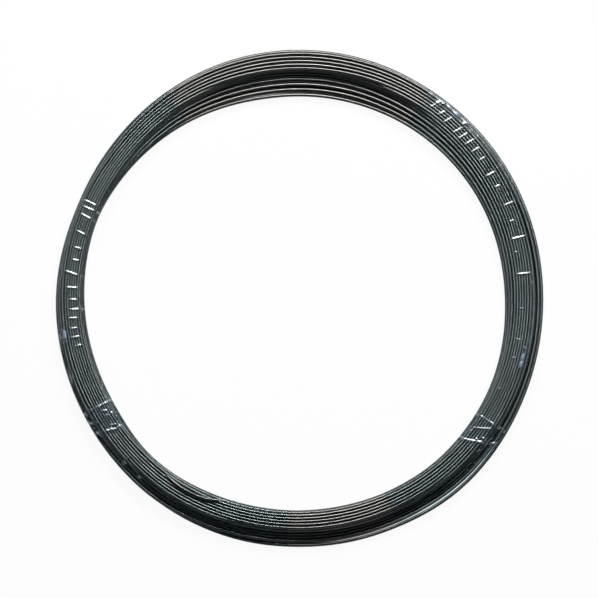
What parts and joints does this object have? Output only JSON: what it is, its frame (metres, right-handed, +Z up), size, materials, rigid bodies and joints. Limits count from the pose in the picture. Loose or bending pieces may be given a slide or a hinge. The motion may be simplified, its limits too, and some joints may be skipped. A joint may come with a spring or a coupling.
{
  "type": "coil of music wire",
  "caption": "Flat ring of hard-drawn steel spring wire, wound turn on turn into a bundle that is bound with clear film and clear tape, with an open eye.",
  "frame": {"origin": "centre of the coil's underside, on the level it lies on", "axes": "+Z up along the coil's axis; +Y towards the middle of the longer bare stretch of wire"},
  "size_m": [0.2739, 0.2787, 0.0141],
  "materials": {
    "wire": "bright-drawn spring steel, dark grey with a fine lengthwise sheen",
    "film": "clear stretch film, glossy, with fine creases",
    "tape": "clear adhesive tape, glossy"
  },
  "bodies": {
    "root": {"wire_coil": "wire", "left_film_wrap": "film", "right_film_wrap": "film", "left_tape_band": "tape", "right_tape_band": "tape"}
  },
  "joints": []
}
